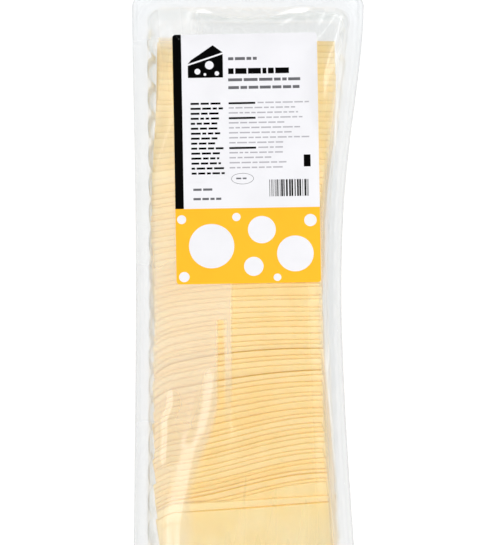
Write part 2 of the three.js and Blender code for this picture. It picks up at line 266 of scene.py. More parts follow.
# %% Work out all the slices at once
ACROSS, ALONG = 21, 14
share = (1 - np.cos(np.pi * np.arange(ACROSS) / (ACROSS - 1))) / 2
stations = np.array([0, 9, 18, 27, 36, 44, 51, 57, 62, 66, 69.5, 72.5, 74.75, 75.0])
fine = np.linspace(0, SLICE_LENGTH, 301)
# Half the length of a slice's bend, how softly the last two pass the ridge, and the rear edge's bevels.
BEND_HALF, RIDGE_SOFTNESS = 5, 2.5
BEVEL_TOP, BEVEL_UNDER = 0.22, 0.14
# What sets a slice apart, in mm: slide along the pack, turn, bow and slide to the side, then swings
# and a wave along the row. The first slices are wider by a share, and slide less to the side.
SLIDE, TURN, BOW, SIDE_SLIDE = 0.6, 1.1, 2.2, 0.9
SLIDE_SWING, SIDE_SWING, SLICE_WAVE = 0.35, 0.7, 0.22
EARLY_WIDER, EARLY_STEADIER = 0.034, 0.3


def side_views():
    """Each slice's side view: up the lean to its bend, then level, by summing small steps along it."""
    bend = bed * SLICE_SPACING / np.sin(lean)
    level = smoothstep(fine[None, :], bend[:, None] - BEND_HALF, bend[:, None] + BEND_HALF)
    angle = lean[:, None] * (1 - level)
    step = fine[1] - fine[0]
    run = np.cumsum(np.cos(angle), axis=1) * step
    rise = np.cumsum(np.sin(angle), axis=1) * step
    at = np.round(stations / step).astype(int)
    return run[:, at] - run[:, :1], rise[:, at] - rise[:, :1], angle[:, at]


def slices():
    """Points of every slice: side view, thickness along its normal, trail, then the settled stack."""
    run, rise, angle = side_views()
    thick = np.full(ALONG, SLICE_THICKNESS)
    thick[-1] -= BEVEL_TOP
    under = np.zeros(ALONG)
    under[-1] = BEVEL_UNDER
    loop = np.concatenate([np.arange(ALONG), np.arange(ALONG)[::-1]])
    off = np.concatenate([thick, under[::-1]])
    run, rise, angle = run[:, loop], rise[:, loop], angle[:, loop]
    along = run - off * np.sin(angle)
    height = rise + off * np.cos(angle)

    k = number[:, None, None]
    s = share[None, :, None]
    up = (stations / SLICE_LENGTH)[loop][None, None, :]
    slide = SLIDE * scatter(k, 2) + TURN * scatter(k, 3) * (s - 0.5) + BOW * scatter(k, 4) * (s - 0.5) ** 2
    slide = slide + SLIDE_SWING * np.sin(k * 0.9 + 1.3) * (k <= LAST_REGULAR)
    late = np.where(k > LAST_REGULAR, LATE_TURN / 3, LATE_TURN * smoothstep(k, 42, 64))
    early = 1 - smoothstep(k, 8, 32)
    aside = (SIDE_SLIDE - EARLY_STEADIER * early) * scatter(k, 1)
    x = SLICE_WIDTH * (0.5 - s) * (1 + EARLY_WIDER * early) + aside
    x = x + SIDE_SWING * np.sin(k * 0.17) + late * (1 - up)
    trails = np.where(k > LAST_REGULAR, TRAIL_LAST_TWO * s + edge_turn(k, s), trail(k, s))
    y = front_edge[:, None, None] + along[:, None, :] - trails + slide * up
    z = height[:, None, :] + slide * up * np.sin(angle[:, None, :])

    slope = lean[-1]
    bed_front = front_edge[LAST_REGULAR] - trail(LAST_REGULAR, s)
    lift = (k - LAST_REGULAR) * SLICE_SPACING + off
    on_bed = (y - bed_front) * np.tan(slope) + lift / np.cos(slope)
    on_ridge = SLICE_LENGTH * np.sin(slope) + (k - LAST_REGULAR) * LOOSE_RISE + off
    lower = np.minimum(on_bed, on_ridge)
    near = np.clip(RIDGE_SOFTNESS - np.abs(on_bed - on_ridge), 0, None)
    z = np.where(k > LAST_REGULAR, lower - near**2 / (4 * RIDGE_SOFTNESS), z)

    z = np.maximum(z, 0) + SLICE_WAVE * np.sin(x / 13 + y / 17) * np.clip(z / 10, 0, 1)
    x, z = settle(x, y, z)
    return np.stack(np.broadcast_arrays(x, y, z), axis=-1), np.broadcast_to(up, x.shape)


slice_points, slice_up = slices()
print("slice grid:", slice_points.shape, "top of the stack at", slice_points[..., 2].max().round(1), "mm")


# %% Close each slice
def slice_faces():
    """Quads round each slice's loop, and strips that close its left and right edges."""
    loop = 2 * ALONG
    one = grid_faces(ACROSS, loop, closed_columns=True)
    i = np.arange(ALONG - 1)
    cap = np.stack([i, loop - 1 - i, loop - 2 - i, i + 1], axis=1)
    last = cap[:, ::-1] + (ACROSS - 1) * loop
    one = np.concatenate([one, cap, last])
    offset = np.arange(SLICE_COUNT) * ACROSS * loop
    return (one[None] + offset[:, None, None]).reshape(-1, 4)


slice_mesh_faces = slice_faces()
# How dark the painted shade at the cut edges is: at least this, and up to this much more.
EDGE_SHADE, EDGE_SHADE_SPREAD = 0.25, 0.5
edge_shade = EDGE_SHADE + EDGE_SHADE_SPREAD * (0.5 + 0.5 * scatter(number, 9)) ** 1.5
rear_edge = slice_points[:, 0, ALONG - 1, 1]
for place, depth in zip(GAPS_AT, GAP_SHADOW_DEPTHS):
    edge_shade[np.abs(rear_edge - place).argmin()] = depth
rear_edge_shade = ((slice_up > 0.999) * edge_shade[:, None, None]).ravel()
slice_tone = np.broadcast_to(scatter(number, 7)[:, None, None], slice_up.shape).ravel()

# %% [markdown]
# ## Materials from nodes
# A finish is a small graph of nodes. A few helpers keep each graph readable: one makes an empty
# material, one adds a node and sets its inputs, and one mixes colours. Patterns are read at Object
# coordinates, so they have real sizes. What the mesh knows of a place comes as an attribute.


# %% Node helpers
class Finish:
    """A material whose nodes are added by name, with inputs given as values or as other sockets."""

    def __init__(self, name):
        self.material = bpy.data.materials.new(name)
        self.material.use_nodes = True
        self.tree = self.material.node_tree
        self.tree.nodes.clear()

    def add(self, kind, settings=None, **inputs):
        """Adds a node. Settings are its own properties; an input is named by its socket, _ for space."""
        node = self.tree.nodes.new(kind)
        for key, value in (settings or {}).items():
            setattr(node, key, value)
        for key, value in inputs.items():
            by_number = key[0] == "n" and key[1:].isdigit()
            socket = node.inputs[int(key[1:]) if by_number else key.replace("_", " ")]
            if isinstance(value, bpy.types.NodeSocket):
                self.tree.links.new(value, socket)
            else:
                socket.default_value = value
        return node

    def close(self, shader):
        """Links the last shader to the material's output."""
        output = self.tree.nodes.new("ShaderNodeOutputMaterial")
        self.tree.links.new(shader, output.inputs["Surface"])
        return self.material

    def place(self):
        """Object coordinates, in metres."""
        return self.add("ShaderNodeTexCoord").outputs["Object"]

    def noise(self, scale, detail=3.0):
        """Soft noise with features of about 1 / scale metres."""
        made = self.add("ShaderNodeTexNoise", Vector=self.place(), Scale=scale, Detail=detail)
        return made.outputs["Fac"]

    def read(self, attribute):
        """The value of a mesh attribute."""
        return self.add("ShaderNodeAttribute", {"attribute_name": attribute}).outputs["Fac"]

    def between(self, factor, low, high):
        """The share that a value has come from low to high, smooth at both ends."""
        smooth = {"interpolation_type": "SMOOTHSTEP"}
        made = self.add("ShaderNodeMapRange", smooth, Value=factor, From_Min=low, From_Max=high)
        return made.outputs["Result"]

    def mix(self, factor, first, second):
        """The first colour where factor is 0 and the second where it is 1."""
        made = self.add("ShaderNodeMix", {"data_type": "RGBA"}, n0=factor, n6=first, n7=second)
        return made.outputs[2]

    def maths(self, operation, first, second):
        """One sum of two values."""
        made = self.add("ShaderNodeMath", {"operation": operation}, n0=first, n1=second)
        return made.outputs["Value"]


# %% [markdown]
# ## Cheese
# Young semi-hard cheese is pale yellow, a little translucent, and has a soft satin face where the
# wire or blade has passed. Light goes in a few millimetres before it comes back, so subsurface
# scattering is what makes it look moist instead of like card. The shade on the cut rear edges is
# painted on as a deeper colour, darker still where slices stand apart, and the slices differ slightly.


# %% The cheese's finish
def cheese_finish():
    """Pale to deep yellow by noise and the slice's own tone, then painted shade in the rim colour by how
    dark a cut edge is, and the gap colour, a deeper painted shadow, past 1."""
    finish = Finish("Cheese")
    pale = (0.99, 0.76, 0.368, 1)
    deep = (0.985, 0.72, 0.3, 1)
    # The rim and gap colours are painted shade: the shade on the rear cut edges and the shadow in gaps
    # between slices.
    rim = (0.92, 0.6, 0.18, 1)
    gap_shadow = (0.66, 0.38, 0.04, 1)
    tone = finish.read("tone")
    cut = finish.read("cut")
    cloudy = finish.noise(38, 4)
    mottled = finish.maths("ADD", finish.maths("MULTIPLY", tone, 0.22), cloudy)
    body = finish.mix(finish.between(mottled, 0.32, 0.72), pale, deep)
    colour = finish.mix(finish.between(cut, 1.0, 2.0), finish.mix(cut, body, rim), gap_shadow)
    grain = finish.noise(1400, 2)
    bump = finish.add("ShaderNodeBump", Strength=0.12, Distance=0.0003, Height=grain)
    shader = finish.add(
        "ShaderNodeBsdfPrincipled",
        Base_Color=colour,
        Roughness=0.46,
        Subsurface_Weight=0.18,
        Subsurface_Radius=(1.0, 0.6, 0.25),
        Subsurface_Scale=0.002,
        Specular_IOR_Level=0.35,
        Normal=bump.outputs["Normal"],
    )
    return finish.close(shader.outputs["BSDF"])


cheese = add_piece(
    "cheese_slices_fine",
    slice_points.reshape(-1, 3),
    slice_mesh_faces,
    cheese_finish(),
    "cheese",
    {"cut": rear_edge_shade, "tone": slice_tone},
    crease=40,
)
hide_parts("cheese_slices")

# %% [markdown]
# ## The tray
# The tray is pressed from a clear sheet, so it has one wall thickness everywhere, soft corners, a
# bead round its flange and flutes that stiffen the walls. A profile from the flange's edge to the
# middle of the floor is carried round a rounded rectangle, and the flutes push the wall outwards in
# half-round scallops. Solidify could give the wall, but two offset profiles keep the floor level.

# %% The outline that the profile is carried round
WALL_CORNER_INSET = 19.0
FLUTE_STEPS = 12
CORNER_STEPS = 14
LONG_FLUTES, SHORT_FLUTES = 21, 6


def outline():
    """Where on the four sides and corners each station lies, as signs and shares, with its outward
    direction and how far it is round its own flute. Corners have no flute, which is given as -1."""
    rows = []
    sides = [((1, 0), LONG_FLUTES), ((0, 1), SHORT_FLUTES), ((-1, 0), LONG_FLUTES), ((0, -1), SHORT_FLUTES)]
    for turn, ((nx, ny), flutes) in enumerate(sides):
        i = np.arange(flutes * FLUTE_STEPS)
        share_along = 2 * i / len(i) - 1
        flute = (i % FLUTE_STEPS) / FLUTE_STEPS
        core_x = nx - ny * share_along
        core_y = ny + nx * share_along
        rows.append(np.stack([core_x, core_y, nx + 0 * i, ny + 0 * i, flute], axis=1))
        angle = (turn + np.arange(CORNER_STEPS) / CORNER_STEPS) * np.pi / 2
        corner = np.tile([nx - ny, ny + nx], (CORNER_STEPS, 1))
        away = np.stack([np.cos(angle), np.sin(angle), np.full(CORNER_STEPS, -1.0)], axis=1)
        rows.append(np.concatenate([corner, away], axis=1))
    return np.concatenate(rows)


stations_round = outline()
print("stations round the tray:", len(stations_round))


# %% The profile, and the tray's shell
PLASTIC = 0.45
# Each row is a ring: how far in from the flange's edge, its height, the share of the flutes' depth
# there, and how far in the corner centres of that ring are.
PROFILE = np.array(
    [
        [0.0, 41.6, 0, 9],
        [0.15, 41.95, 0, 9],
        [2.2, 42.0, 0, 8.2],
        [2.7, 42.35, 0, 8.2],
        [3.2, 42.6, 0, 8.2],
        [3.7, 42.35, 0, 8.2],
        [4.2, 42.0, 0, 8.2],
        [8.1, 41.95, 0, 16],
        [8.7, 41.6, 0, 19],
        [9.1, 40.6, 0, 19],
        [9.5, 39.4, 0.15, 19],
        [9.8, 38.6, 0.7, 19],
        [9.95, 37.4, 0.95, 19],
        [10.1, 35.5, 1, 19],
        [10.7, 22, 1, 19],
        [11.2, 9, 1, 19],
        [11.35, 6, 0.85, 19],
        [11.6, 3.6, 0.4, 19],
        [12.1, 1.8, 0, 19],
        [12.9, 0.8, 0, 19],
        [14.2, 0.45, 0, 19],
        [18.0, 0.45, 0, 20],
        [40.0, 0.45, 0, 41],
        [HALF_WIDTH, 0.45, 0, HALF_WIDTH],
    ]
)
FLUTE_DEPTH = 1.5
RIB_HEIGHT = 1.3
# The half-round's share of a flute, and how much shallower the end walls' flutes are.
SCALLOP_SHARE, END_SHALLOWER = 0.78, 0.7


def shell_point(inset, height, flute_share, corner_inset):
    """A ring of the shell: core rectangle plus the outward direction times the radius there, pushed
    out by a half-round in each flute and in by the ribs between them, then drawn in at the waist."""
    sx, sy, nx, ny, flute = stations_round.T
    radius = corner_inset - inset
    x = sx * (HALF_WIDTH - corner_inset) + nx * radius
    y = sy * (HALF_LENGTH - corner_inset) + ny * radius
    scallop = np.where(flute < 0, 1, np.sqrt(np.clip(1 - ((2 * flute - 1) / SCALLOP_SHARE) ** 2, 0, 1)))
    rib = RIB_HEIGHT * (1 - waist_share(y))
    shallow = 1 - END_SHALLOWER * smoothstep(np.abs(ny), 0.8, 1)
    out = flute_share * shallow * (FLUTE_DEPTH * scallop - rib * (1 - scallop))
    y = y + ny * out
    return np.stack([draw_in(x + nx * out, y, height), y, np.full_like(x, height)], axis=1)


def tray_shell():
    """The profile's rings, then the same rings moved out by the wall along the profile's normal. The
    grid is closed both ways, but for the row that would join the two floors at their middle."""
    way = np.gradient(PROFILE[:, :2], axis=0)
    way /= np.linalg.norm(way, axis=1, keepdims=True)
    outside = PROFILE.copy()
    outside[:, 0] = np.maximum(PROFILE[:, 0] + PLASTIC * way[:, 1], 0)
    outside[:, 1] = np.maximum(PROFILE[:, 1] - PLASTIC * way[:, 0], 0)
    outside[-1, 0] = PROFILE[-1, 0]
    rings = [shell_point(*ring) for ring in [*PROFILE, *outside[::-1]]]
    columns = len(stations_round)
    faces = grid_faces(len(rings), columns, closed_rows=True, closed_columns=True)
    middle = faces[:, 0] // columns == len(PROFILE) - 1
    inset = np.concatenate([PROFILE[:, 0], outside[::-1, 0]])
    thick = np.repeat(1 - smoothstep(inset, 7.5, 9.5), columns)
    return np.concatenate(rings), faces[~middle], thick


# %% [markdown]
# ## Clear plastic
# Thin clear plastic hardly bends the light that goes through it, so refraction would only add noise.
# What shows is the reflection on its two faces, a faint haze, and a grey-green tint where one looks
# along the wall. So the finish mixes a transparent shader with a glossy one. The share mirrored is 5%
# face on and grows with the fifth power of the glancing angle's share. The Fresnel node isn't used,
# because on the sheet's far face it would find total reflection, and shade what lies under it. The
# haze sends half of its light back and passes the other half down, as misted film does.


# %% The plastic's finish
MIRRORED_FACE_ON, MIRRORED_GLANCING = 0.05, 0.7
HAZE_BACK, HAZE_THROUGH = (0.94, 0.955, 0.975, 1), (0.955, 0.97, 0.995, 1)
# What full mist adds to the haze, and full creasing to the roughness.
MIST_HAZE, CREASED_ROUGHNESS = 0.2, 0.36


def clear_plastic(name, haze, tint, roughness, along_wall, creased=None, misted=None, thick_tint=None):
    """Clear sheet: haze is its share of white scatter, tint its colour face on, along_wall edge on.
    Creased and misted name attributes: fine creases spread the lamps' reflection, mist adds haze.
    Where the attribute thick is 1, the tint is thick_tint."""
    finish = Finish(name)
    uneven = finish.between(finish.noise(45, 2), 0.35, 0.75)
    glancing = finish.add("ShaderNodeLayerWeight", Blend=0.5).outputs["Facing"]
    if thick_tint:
        thick = finish.read("thick")
        tint = finish.mix(thick, tint, thick_tint)
    colour = finish.mix(finish.between(glancing, 0.5, 1.0), tint, along_wall)
    clear = finish.add("ShaderNodeBsdfTransparent", Color=colour).outputs["BSDF"]
    back = finish.add("ShaderNodeBsdfDiffuse", Color=HAZE_BACK).outputs["BSDF"]
    through = finish.add("ShaderNodeBsdfTranslucent", Color=HAZE_THROUGH).outputs["BSDF"]
    white = finish.add("ShaderNodeMixShader", n0=0.5, n1=back, n2=through).outputs["Shader"]
    cloud = finish.maths("MULTIPLY", finish.maths("ADD", uneven, 0.6), haze)
    if misted:
        mist = finish.read(misted)
        cloud = finish.maths("ADD", cloud, finish.maths("MULTIPLY", mist, MIST_HAZE))
    body = finish.add("ShaderNodeMixShader", n0=cloud, n1=clear, n2=white).outputs["Shader"]
    steep = finish.maths("POWER", glancing, 5.0)
    mirrored = finish.maths("ADD", finish.maths("MULTIPLY", steep, MIRRORED_GLANCING), MIRRORED_FACE_ON)
    if creased:
        share_creased = finish.read(creased)
        rougher = finish.maths("MULTIPLY", share_creased, CREASED_ROUGHNESS)
        roughness = finish.maths("ADD", rougher, roughness)
    gloss = finish.add("ShaderNodeBsdfGlossy", Color=(1, 1, 1, 1), Roughness=roughness).outputs["BSDF"]
    shader = finish.add("ShaderNodeMixShader", n0=mirrored, n1=body, n2=gloss).outputs["Shader"]
    return finish.close(shader)


TRAY_TINT, TRAY_EDGE_ON = (0.962, 0.968, 0.966, 1), (0.86, 0.89, 0.88, 1)
FLANGE_TINT = (0.93, 0.935, 0.937, 1)
tray_points, tray_faces, tray_thick = tray_shell()
tray = add_piece(
    "tray_shell",
    tray_points,
    tray_faces,
    clear_plastic("Clear tray", 0.016, TRAY_TINT, 0.14, TRAY_EDGE_ON, thick_tint=FLANGE_TINT),
    "clear_tray",
    {"thick": tray_thick},
    crease=70,
    merge=True,
)
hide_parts("tray")

# %% [markdown]
# ## The film's rest shape
# The film is welded on the flange and hangs a little inside the mouth, until the slices carry it.
# Cloth simulation would find this too, but slowly, and the film's length would have to be guessed.
# Here it is the larger of two heights, joined softly: the hanging film, and the slices' ridge line.

# %% The film's height
FILM_GAP = 0.12
FILM_REACH_REAR, FILM_REACH_MIDDLE = 28.0, 4.5
FILM_RISE_FRONT, FILM_SAG_MIDDLE, FILM_SAG_REAR = 2.1, 6.0, 8.0
FILM_TAUT_LENGTH = 80
FILM_CLEARANCE = 0.7
# The softness of the change from hanging to carried, and how much less it is in front.
FILM_SOFTNESS, FILM_SHARPER = 2.5, 1.4
# The pitch that finds a place's slice, the ridge's rise at the rear, its left edge and its front fall.
RIDGE_PITCH, REAR_RISE, ROW_LEFT, FALL_START = 3.15, 0.394, -54.0, 3


def inside_mouth(x, y):
    """Distance in from the tray's mouth, a rounded rectangle, for a point of the straight pack."""
    out_x = np.abs(x) - (HALF_WIDTH - WALL_CORNER_INSET)
    out_y = np.abs(y) - (HALF_LENGTH - WALL_CORNER_INSET)
    corner = np.hypot(np.clip(out_x, 0, None), np.clip(out_y, 0, None))
    flat = np.minimum(np.maximum(out_x, out_y), 0)
    return WALL_CORNER_INSET - FLANGE_WIDTH - corner - flat


def ridge_line(x, y):
    """The slices' rear edges: rising from the rear end, level, then falling down the last slice."""
    k = np.clip((FIRST_SLICE_REAR - y) / RIDGE_PITCH, 0, LAST_REGULAR)
    slope = np.arcsin(SLICE_SPACING / (FIRST_PITCH - PITCH_LOSS * (k / LAST_REGULAR) ** 2))
    level = SLICE_LENGTH * np.sin(slope) + SLICE_SPACING
    rising = np.clip((FIRST_SLICE_REAR - y) * REAR_RISE, 0, None) + SLICE_SPACING
    last_rear = front_edge[LAST_REGULAR] + SLICE_LENGTH * math.cos(lean[-1])
    over = last_rear - trail(LAST_REGULAR, 1 - np.clip((x - ROW_LEFT) / SLICE_WIDTH, 0, 1)) - y
    face = SLICE_LENGTH * math.sin(lean[-1]) + 3 * SLICE_SPACING / math.cos(lean[-1])
    falling = face - (over - FALL_START) * math.tan(lean[-1])
    loose = 2 * LOOSE_RISE * smoothstep(-y, 70, 100)
    return STACK_FLOOR + np.minimum(np.minimum(rising, level + loose), falling)


def soft_larger(first, second, softness):
    """The larger of two, rounded where they are within softness of each other."""
    near = np.clip(softness - np.abs(first - second), 0, None)
    return np.maximum(first, second) + near**2 / (4 * softness)


def film_rest(x, y):
    """The hanging film or the slices that carry it, whichever is higher."""
    inset = inside_mouth(undraw(x, y), y)
    taut = -FILM_RISE_FRONT * np.clip((y + HALF_LENGTH - FLANGE_WIDTH) / FILM_TAUT_LENGTH, 0, 1)
    sag = taut + (FILM_SAG_MIDDLE - taut) * smoothstep(y, -60, 40)
    sag = sag + (FILM_SAG_REAR - sag) * smoothstep(y, 100, 165)
    reach = FILM_REACH_MIDDLE + (FILM_REACH_REAR - FILM_REACH_MIDDLE) * smoothstep(y, 85, 150)
    hanging = PACK_DEPTH + FILM_GAP - sag * smoothstep(inset / reach, 0, 1)
    carried = np.where(inset > 0, ridge_line(x, y) + FILM_CLEARANCE, 0)
    return soft_larger(hanging, carried, FILM_SOFTNESS - FILM_SHARPER * smoothstep(-y, 60, 90))


# %% The label's own plane
LABEL_WIDTH, LABEL_LENGTH = 83.0, 143.4
LABEL_CENTRE = (-0.75, 97.9)
LABEL_TURN = math.radians(1.0)


def to_label(x, y):
    """From the pack to the label's own right and up, by turning back about its middle."""
    dx, dy = x - LABEL_CENTRE[0], y - LABEL_CENTRE[1]
    cos, sin = math.cos(LABEL_TURN), math.sin(LABEL_TURN)
    return dx * cos + dy * sin, dy * cos - dx * sin


def from_label(u, v):
    """From the label's own right and up to the pack."""
    cos, sin = math.cos(LABEL_TURN), math.sin(LABEL_TURN)
    return LABEL_CENTRE[0] + u * cos - v * sin, LABEL_CENTRE[1] + u * sin + v * cos


# %% [markdown]
# ## Folds in the film
# Packing film creases from its corners and pulls into long ridges where the slices stretch it. Each
# fold is a line of points, a width and a height: the film rises by a soft bell across the line and
# fades at both ends. The slopes of these folds turn the lamps' light to the camera as streaks.

# %% The folds
LONG_FOLD = [(-21, -46), (-24, -60), (-29.2, -69), (-31.4, -78), (-33.8, -95), (-37.3, -109.3)]
LONG_FOLD += [(-38.4, -119.6), (-39, -150), (-38, -180)]
FOLDS = [
    # points along the line, then width and height, all in mm
    ([(57, 187), (54.8, 178.8), (46.2, 160), (41.5, 145.6), (39.6, 133), (39, 118)], 3.6, 0.9),
    ([(-36, 184), (-31, 181), (-16, 178.6), (0.3, 176.3), (12.6, 176.9), (29, 182), (42, 186)], 1.7, 1.0),
    ([(-34, 180), (-16, 175.6), (0, 174), (14, 175), (24, 178)], 1.3, 0.4),
    ([(43, 186), (33, 181), (19, 173), (12, 169)], 2.0, 0.8),
    ([(47, 185), (41.2, 172), (38, 164)], 1.6, 0.5),
    ([(-31, 182), (-25.8, 173), (-24, 167)], 1.8, 0.6),
    ([(-57, 160), (-50, 168), (-44, 176)], 2.6, 0.6),
    (LONG_FOLD, 6.2, 1.08),
    ([(-43.5, -30), (-42.5, -43), (-46, -52), (-45.7, -61), (-47.2, -82)], 2.2, 0.42),
    ([(-12.6, 24), (-12.8, 2), (-10.3, -18), (-9.7, -30), (-9.2, -50), (-5.7, -70)], 1.7, 0.14),
    ([(-30, -30), (-32, -52), (-37, -70)], 2.4, 0.3),
    ([(-17, -18), (-18.5, -34), (-20.5, -46), (-25, -62)], 4.2, 0.5),
    ([(44, -54), (42.4, -69), (42.9, -92)], 1.8, 0.35),
    ([(50, -140), (36, -168), (10, -180)], 3.5, 0.7),
    ([(47, 162), (41.5, 145.6), (39.6, 133), (39, 114)], 3.6, 0.42),
]

# The folds that are pulled taut, and how much wider than the fold itself the smooth strip is.
TAUT_FOLDS = {0: 1.3, 1: 1.9, 7: 1.9, 8: 1.9, 11: 1.9, 14: 1.3}

# The veil's edge: where it starts, its step to the left and how far it then runs out to the left.
VEIL_START, VEIL_STEP, VEIL_RUN_OUT = -9.4, 8.2, 15.5
STRIPE_X = -11.4


def fold_height(x, y, line, width, height):
    """A bell of the distance to the line, exp(-(d / width)^2), which fades in its first and last fifth."""
    line = np.array(line, float)
    lengths = np.linalg.norm(np.diff(line, axis=0), axis=1)
    starts = np.concatenate([[0], np.cumsum(lengths)])
    nearest = np.full(x.shape, np.inf)
    along = np.zeros(x.shape)
    for start, end, length, so_far in zip(line[:-1], line[1:], lengths, starts):
        way = (end - start) / length
        reach = np.clip((x - start[0]) * way[0] + (y - start[1]) * way[1], 0, length)
        apart = np.hypot(x - start[0] - reach * way[0], y - start[1] - reach * way[1])
        closer = apart < nearest
        nearest = np.where(closer, apart, nearest)
        along = np.where(closer, (so_far + reach) / starts[-1], along)
    fade = smoothstep(along, 0, 0.2) * (1 - smoothstep(along, 0.8, 1))
    return height * np.exp(-((nearest / width) ** 2)) * fade


def label_mask(x, y):
    """1 under the label, where the stiffer paper keeps the film smooth, and 0 a little outside it."""
    u, v = to_label(x, y)
    inside = np.minimum(LABEL_WIDTH / 2 - np.abs(u), LABEL_LENGTH / 2 - np.abs(v))
    return smoothstep(inside, -4, 1)


def film_height(x, y):
    """The rest shape, the folds and low waves, all zero on the flange and under the label."""
    inset = inside_mouth(undraw(x, y), y)
    free = smoothstep(inset, 0, 5) * (1 - label_mask(x, y))
    folds = sum(fold_height(x, y, *fold) for fold in FOLDS)
    waves = 0.16 * np.sin(x / 3.1 + 1.5 * np.sin(y / 21)) * np.sin(y / 37 + x / 40)
    crumple = 0.5 * np.sin(x / 7 + y / 9) * np.sin(x / 11 - y / 5) * smoothstep(y, 160, 178)
    return film_rest(x, y) + free * (folds + waves + crumple)


def veil(x, y):
    """1 where the film has lifted off the slices: left of a sharp line below the label, which steps to
    the left and then runs out to the left edge, and in a narrow stripe that goes on below the step."""
    edge = VEIL_START - VEIL_STEP * smoothstep(6 - y, 0, 1.5) - VEIL_RUN_OUT * smoothstep(-y, 40, 98)
    left = smoothstep((edge - x) / (1.2 + 6 * smoothstep(-y, 30, 90)), -0.5, 0.5)
    stripe = (1 - smoothstep(np.abs(x - STRIPE_X), 1.2, 2.6)) * (1 - smoothstep(-y, 5, 66)) * (y < 20)
    return np.maximum(left, stripe) * smoothstep(-y, -170, -20)


def lifted(x, y):
    """0 where the film clings to the moist slices and 1 where it has lifted and is finely creased: most
    in the veil, at the right flank and the weld, weaker elsewhere, and not on the taut folds."""
    left = veil(x, y)
    grain = 0.5 + 0.5 * np.sin(x / 1.9 + 2 * np.sin(y / 33)) * np.sin(x / 5.3 + y / 90)
    rest = 0.22 + 0.3 * smoothstep(-y, 95, 140) + 0.3 * smoothstep(y, 150, 170)
    taut = [fold_height(x, y, FOLDS[i][0], FOLDS[i][1] * wider, 1.5) for i, wider in TAUT_FOLDS.items()]
    inset = inside_mouth(undraw(x, y), y)
    flank = 0.8 * smoothstep(x, 20, 30) * smoothstep(inset, 1, 3)
    flank = flank * (1 - smoothstep(inset, 9, 14)) * (1 - smoothstep(y, 150, 165))
    weld = 0.7 * (1 - smoothstep(inset, -1, 1))
    creased = np.maximum.reduce([0.8 * left + (rest - 0.25 * left) * grain, flank, weld])
    return np.clip(creased - np.clip(sum(taut), 0, 1), 0, 1)


def mist(x, y):
    """Haze from unstretched film and damp, the strongest at each place: most along the rear weld, less
    in the rear corners, a band along the side welds, the veil over the slices and a little in front."""
    inset = inside_mouth(undraw(x, y), y)
    lip = 175.5 + 0.0045 * (x + 1) ** 2
    rear = smoothstep(y, lip + 0.5, lip + 4)
    left_corner = smoothstep(-x, 22, 34) * smoothstep(y, 156, 172) * 1.6
    right_corner = smoothstep(x, 42, 52) * smoothstep(y, 115, 150) * 0.5
    sides = (0.9 + 0.4 * np.sign(x)) * (1 - smoothstep(inset, -2, 7))
    sides = sides + 0.8 * smoothstep(x, 20, 30) * np.exp(-(((inset - 2.5) / 2.5) ** 2))
    milky = 1.05 * veil(x, y) * (1 - 0.35 * smoothstep(-y, 40, 110))
    milky = milky + 0.2 * smoothstep(-y, 95, 125)
    return np.maximum.reduce([rear * 1.9, left_corner, right_corner, sides, milky])


# %% Make the film
def closed_sheet(x, y, low, high):
    """A closed sheet from a grid of places and its lower and upper heights: both grids and a rim."""
    rows, columns = x.shape
    lower = np.stack([x, y, low], axis=-1).reshape(-1, 3)
    upper = np.stack([x, y, high], axis=-1).reshape(-1, 3)
    grid = grid_faces(rows, columns)
    count = rows * columns
    index = np.arange(count).reshape(rows, columns)
    border = np.concatenate([index[0, :-1], index[:-1, -1], index[-1, :0:-1], index[:0:-1, 0]])
    following = np.roll(border, -1)
    rim = np.stack([border, following, following + count, border + count], axis=1)
    faces = np.concatenate([grid[:, ::-1], grid + count, rim])
    return np.concatenate([lower, upper]), faces


FILM_THICKNESS = 0.1
FILM_EDGE = 0.4
FLANGE_CORNER = 9
FILM_CORNER = FLANGE_CORNER - FILM_EDGE
FILM_TINT, FILM_EDGE_ON = (0.985, 0.987, 0.988, 1), (0.93, 0.95, 0.95, 1)
BEAD_HEIGHT, BEAD_INSET, BEAD_WIDTH = 0.62, 3.2, 0.75
film_u = np.linspace(-1, 1, 121)
film_y = np.linspace(-1, 1, 341) * (HALF_LENGTH - FILM_EDGE)
corner_in = np.clip(np.abs(film_y) - (HALF_LENGTH - FLANGE_CORNER), 0, None)
corner_cut = FILM_CORNER - np.sqrt(np.clip(FILM_CORNER**2 - corner_in**2, 0, None))
film_x = film_u[None, :] * (HALF_WIDTH - FILM_EDGE - corner_cut[:, None])
film_y = np.broadcast_to(film_y[:, None], film_x.shape)
film_x = draw_in(film_x, film_y, np.full_like(film_x, PACK_DEPTH))


def flange_bead(x, y):
    """The bead's bell, at its inset from the flange's edge: height times exp(-(distance / width)^2)."""
    inset = inside_mouth(undraw(x, y), y) + FLANGE_WIDTH
    return BEAD_HEIGHT * np.exp(-(((inset - BEAD_INSET) / BEAD_WIDTH) ** 2))


film_z = film_height(film_x, film_y) + flange_bead(film_x, film_y)
print("film from", film_z.min().round(1), "to", film_z.max().round(1), "mm high")
film = add_piece(
    "top_film_sheet",
    *closed_sheet(film_x, film_y, film_z, film_z + FILM_THICKNESS),
    clear_plastic("Clear film", 0.014, FILM_TINT, 0.2, FILM_EDGE_ON, "creased", "misted"),
    "clear_film",
    {
        "creased": np.tile(lifted(film_x, film_y).ravel(), 2),
        "misted": np.tile(mist(film_x, film_y).ravel(), 2),
    },
)
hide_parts("top_film")

# %% [markdown]
# ## The label
# The label is coated paper on the film. Its print is built the way print is: thin patches of ink,
# one mesh for each colour, laid on the paper. A picture would be quicker, but patches stay sharp at
# any distance and carry no writing. The white part has bars in place of lines of words, a plain
# wedge, a ring and a block of stripes; the lower panel is yellow with round holes. Thin paper lets
# much light through and scatters it, so the label and its print cast no shadow on the slices.

# %% Paper and ink
LABEL_LIFT, PAPER, INK = 0.25, 0.14, 0.05
LABEL_CORNER = 1.8
PAPER_WHITE = (0.785, 0.782, 0.805, 1)


def label_height(x, y):
    """The label's underside: the film's rest shape, a hair above the film."""
    return film_rest(x, y) + FILM_THICKNESS + LABEL_LIFT


